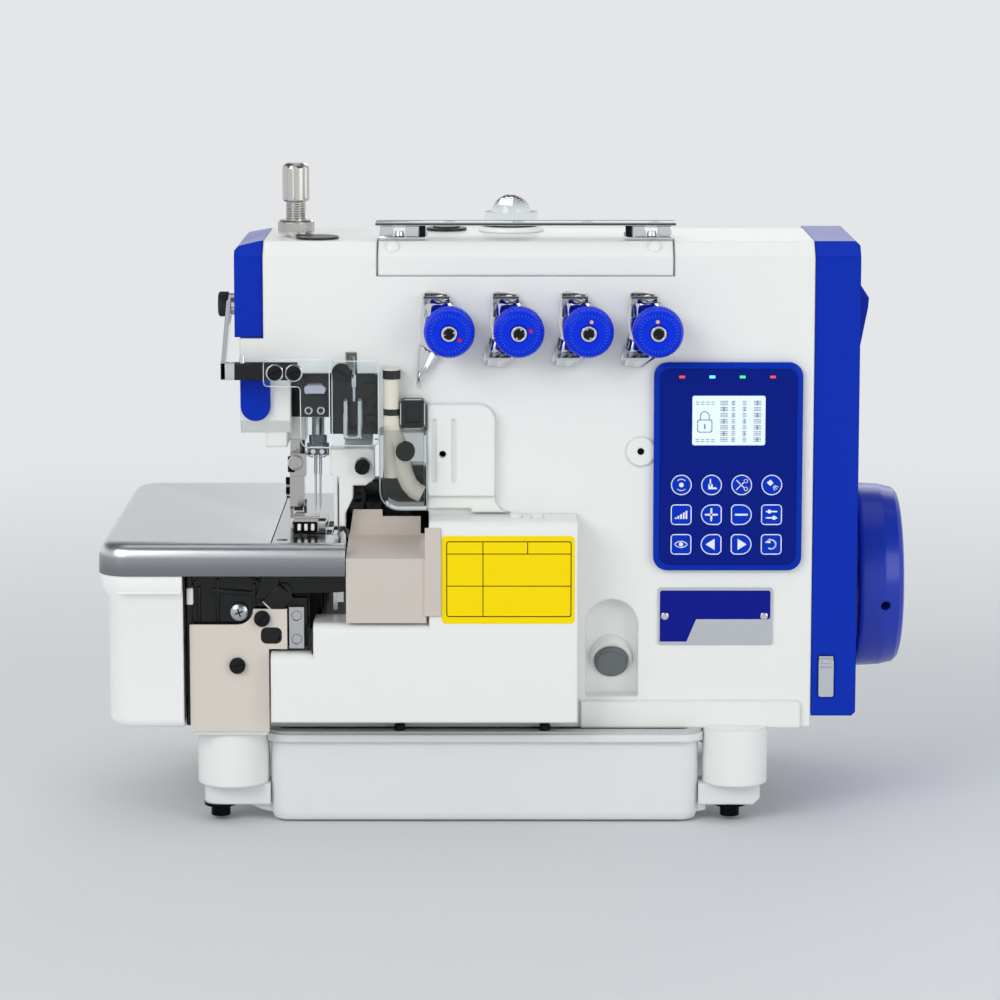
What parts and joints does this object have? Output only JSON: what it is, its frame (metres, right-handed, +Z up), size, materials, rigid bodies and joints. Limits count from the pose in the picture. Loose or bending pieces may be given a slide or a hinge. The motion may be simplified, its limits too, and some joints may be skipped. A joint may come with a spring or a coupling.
{
  "type": "overlock sewing machine",
  "caption": "Direct-drive overlock sewing machine head with thread tension knobs, control panel, needle and looper mechanism, swing-out cloth plate and oil pan.",
  "frame": {"origin": "centre of the overall box, on the surface the oil pan stands on", "axes": "+Z up, operator at -Y, handwheel at +X, cloth plate at -X"},
  "size_m": [0.41, 0.2, 0.3335],
  "materials": {
    "white_enamel": "semi-gloss baked enamel",
    "cast_aluminium": "painted casting, satin",
    "gasket_rubber": "moulded, matte",
    "black_oxide_steel": "black oxide",
    "zinc_steel": "zinc plated",
    "beige_sheet": "satin beige paint on folded sheet",
    "brushed_plate": "brushed and rolled edge",
    "white_plastic": "moulded, satin",
    "polished_steel": "ground and polished",
    "tool_steel": "ground tool steel",
    "bright_chrome": "bright chrome plate",
    "blue_enamel": "gloss cobalt blue",
    "blue_plastic": "moulded cobalt blue",
    "knob_plastic": "moulded bright blue",
    "clear_acrylic": "clear moulded acrylic",
    "cream_plastic": "moulded",
    "smoked_plastic": "smoked clear plastic",
    "black_plastic": "moulded",
    "copper_winding": "wound enamelled wire on laminations",
    "printed_film": "printed polyester film",
    "grey_plastic": "moulded"
  },
  "bodies": {
    "frame": {"machine_frame": "white_enamel", "oil_pan": "cast_aluminium", "pan_gasket": "gasket_rubber", "mounting_bolts": "black_oxide_steel", "top_cover": "white_enamel", "rear_cover": "white_enamel", "cover_screws": "zinc_steel", "hinge_pins": "zinc_steel", "bed_side_plate": "beige_sheet", "throat_plate": "polished_steel", "plate_bracket": "black_oxide_steel", "lower_knife": "polished_steel", "face_cover": "blue_enamel", "lamp_housing": "blue_plastic", "finger_guard": "clear_acrylic", "suction_pipe": "cream_plastic", "suction_chute": "smoked_plastic", "nozzle_block": "black_plastic", "thread_take_up": "bright_chrome", "shaft_bearings": "polished_steel", "motor_stator": "copper_winding", "motor_cover": "blue_enamel", "control_panel": "blue_plastic", "keypad": "printed_film", "nameplate": "brushed_plate", "tension_posts": "polished_steel", "tension_plates": "bright_chrome", "sight_glass": "clear_acrylic", "top_plugs": "black_plastic", "thread_rail": "bright_chrome"},
    "drive_shaft": {"main_shaft": "polished_steel", "motor_rotor": "polished_steel", "handwheel": "blue_plastic"},
    "rod": {"connecting_rod": "cast_aluminium"},
    "rocker": {"rocker_shaft": "polished_steel"},
    "needle_carrier": {"needle_bar": "polished_steel", "needle_clamp": "black_oxide_steel", "needles": "polished_steel"},
    "lower_looper_arm": {"lower_looper": "polished_steel"},
    "upper_looper_rod": {"upper_looper": "polished_steel"},
    "knife_arm": {"upper_knife_arm": "white_enamel", "upper_knife": "tool_steel"},
    "feed": {"feed_dog": "polished_steel", "feed_bar": "black_oxide_steel"},
    "presser": {"presser_bar": "polished_steel"},
    "foot": {"presser_foot": "polished_steel"},
    "regulator": {"regulator_screw": "bright_chrome"},
    "lock_nut": {"regulator_nut": "bright_chrome"},
    "front_door": {"front_cover": "white_enamel", "chip_guard": "beige_sheet"},
    "cloth_table": {"cloth_plate": "brushed_plate", "side_cover": "white_plastic"},
    "guard": {"guard_arm": "bright_chrome", "eye_guard": "clear_acrylic"},
    "knob_1": {"tension_knob_1": "knob_plastic"},
    "knob_2": {"tension_knob_2": "knob_plastic"},
    "knob_3": {"tension_knob_3": "knob_plastic"},
    "knob_4": {"tension_knob_4": "knob_plastic"},
    "stitch_button": {"stitch_length_button": "grey_plastic"},
    "port_flap": {"usb_flap": "grey_plastic"}
  },
  "joints": [
    {"name": "drive_shaft_spin", "type": "hinge", "parent": "frame", "child": "drive_shaft", "pos_m": [0, -0.005, 0.115], "axis": [1, 0, 0], "continuous": true},
    {"name": "rod_swing", "type": "hinge", "parent": "drive_shaft", "child": "rod", "pos_m": [0.064, -0.005, 0.122], "axis": [1, 0, 0], "continuous": true},
    {"name": "rocker_swing", "type": "hinge", "parent": "frame", "child": "rocker", "pos_m": [0, 0.008, 0.258], "axis": [-1, 0, 0], "range_deg": [-64, 0]},
    {"name": "needle_bar_slide", "type": "slide", "parent": "frame", "child": "needle_carrier", "axis": [0, 0.2079, 0.9781], "range_m": [-0.0245, 0]},
    {"name": "lower_looper_swing", "type": "hinge", "parent": "frame", "child": "lower_looper_arm", "pos_m": [-0.108, 0, 0.084], "axis": [0, 1, 0], "range_deg": [-14, 0]},
    {"name": "upper_looper_slide", "type": "slide", "parent": "frame", "child": "upper_looper_rod", "axis": [-0.6, 0, 0.8], "range_m": [-0.014, 0]},
    {"name": "upper_knife_swing", "type": "hinge", "parent": "frame", "child": "knife_arm", "pos_m": [-0.07, -0.016, 0.214], "axis": [1, 0, 0], "range_deg": [-4, 2]},
    {"name": "feed_slide", "type": "slide", "parent": "frame", "child": "feed", "axis": [0, 1, 0], "range_m": [-0.002, 0.002]},
    {"name": "presser_lift", "type": "slide", "parent": "frame", "child": "presser", "axis": [0, 0, 1], "range_m": [0, 0.006]},
    {"name": "foot_tilt", "type": "hinge", "parent": "presser", "child": "foot", "pos_m": [-0.107, -0.033, 0.1565], "axis": [-1, 0, 0], "range_deg": [0, 8]},
    {"name": "regulator_turn", "type": "hinge", "parent": "frame", "child": "regulator", "pos_m": [-0.107, -0.038, 0.32], "axis": [0, 0, 1], "range_deg": [-360, 360]},
    {"name": "lock_nut_turn", "type": "hinge", "parent": "frame", "child": "lock_nut", "pos_m": [-0.107, -0.038, 0.3], "axis": [0, 0, 1], "range_deg": [-180, 180]},
    {"name": "front_cover_tip", "type": "hinge", "parent": "frame", "child": "front_door", "pos_m": [-0.04, -0.0915, 0.06], "axis": [1, 0, 0], "range_deg": [0, 75]},
    {"name": "cloth_plate_swing", "type": "hinge", "parent": "frame", "child": "cloth_table", "pos_m": [-0.161, 0.092, 0.1], "axis": [0, 0, -1], "range_deg": [0, 80]},
    {"name": "eye_guard_lift", "type": "hinge", "parent": "frame", "child": "guard", "pos_m": [-0.14, -0.04, 0.2615], "axis": [-1, 0, 0], "range_deg": [0, 95]},
    {"name": "tension_knob_1_turn", "type": "hinge", "parent": "frame", "child": "knob_1", "pos_m": [-0.0282, -0.09, 0.253], "axis": [0, -1, 0], "range_deg": [-360, 360]},
    {"name": "tension_knob_2_turn", "type": "hinge", "parent": "frame", "child": "knob_2", "pos_m": [0.0064, -0.09, 0.253], "axis": [0, -1, 0], "range_deg": [-360, 360]},
    {"name": "tension_knob_3_turn", "type": "hinge", "parent": "frame", "child": "knob_3", "pos_m": [0.041, -0.09, 0.253], "axis": [0, -1, 0], "range_deg": [-360, 360]},
    {"name": "tension_knob_4_turn", "type": "hinge", "parent": "frame", "child": "knob_4", "pos_m": [0.0756, -0.09, 0.253], "axis": [0, -1, 0], "range_deg": [-360, 360]},
    {"name": "stitch_button_press", "type": "slide", "parent": "frame", "child": "stitch_button", "axis": [0, 0.9063, 0.4226], "range_m": [0, 0.004], "stiffness_N_per_m": 900, "springref_m": -0.001},
    {"name": "port_flap_lift", "type": "hinge", "parent": "frame", "child": "port_flap", "pos_m": [0.163, -0.0716, 0.0841], "axis": [-1, 0, 0], "range_deg": [0, 90]}
  ],
  "couplings": [
    {"joint": "rod_swing", "follows": "drive_shaft_spin", "ratio": -1},
    {"joint": "rocker_swing", "follows": "needle_bar_slide", "rad_per_m": 45.59},
    {"joint": "lower_looper_swing", "follows": "needle_bar_slide", "rad_per_m": 9.973},
    {"joint": "upper_looper_slide", "follows": "needle_bar_slide", "ratio": 0.5714}
  ]
}
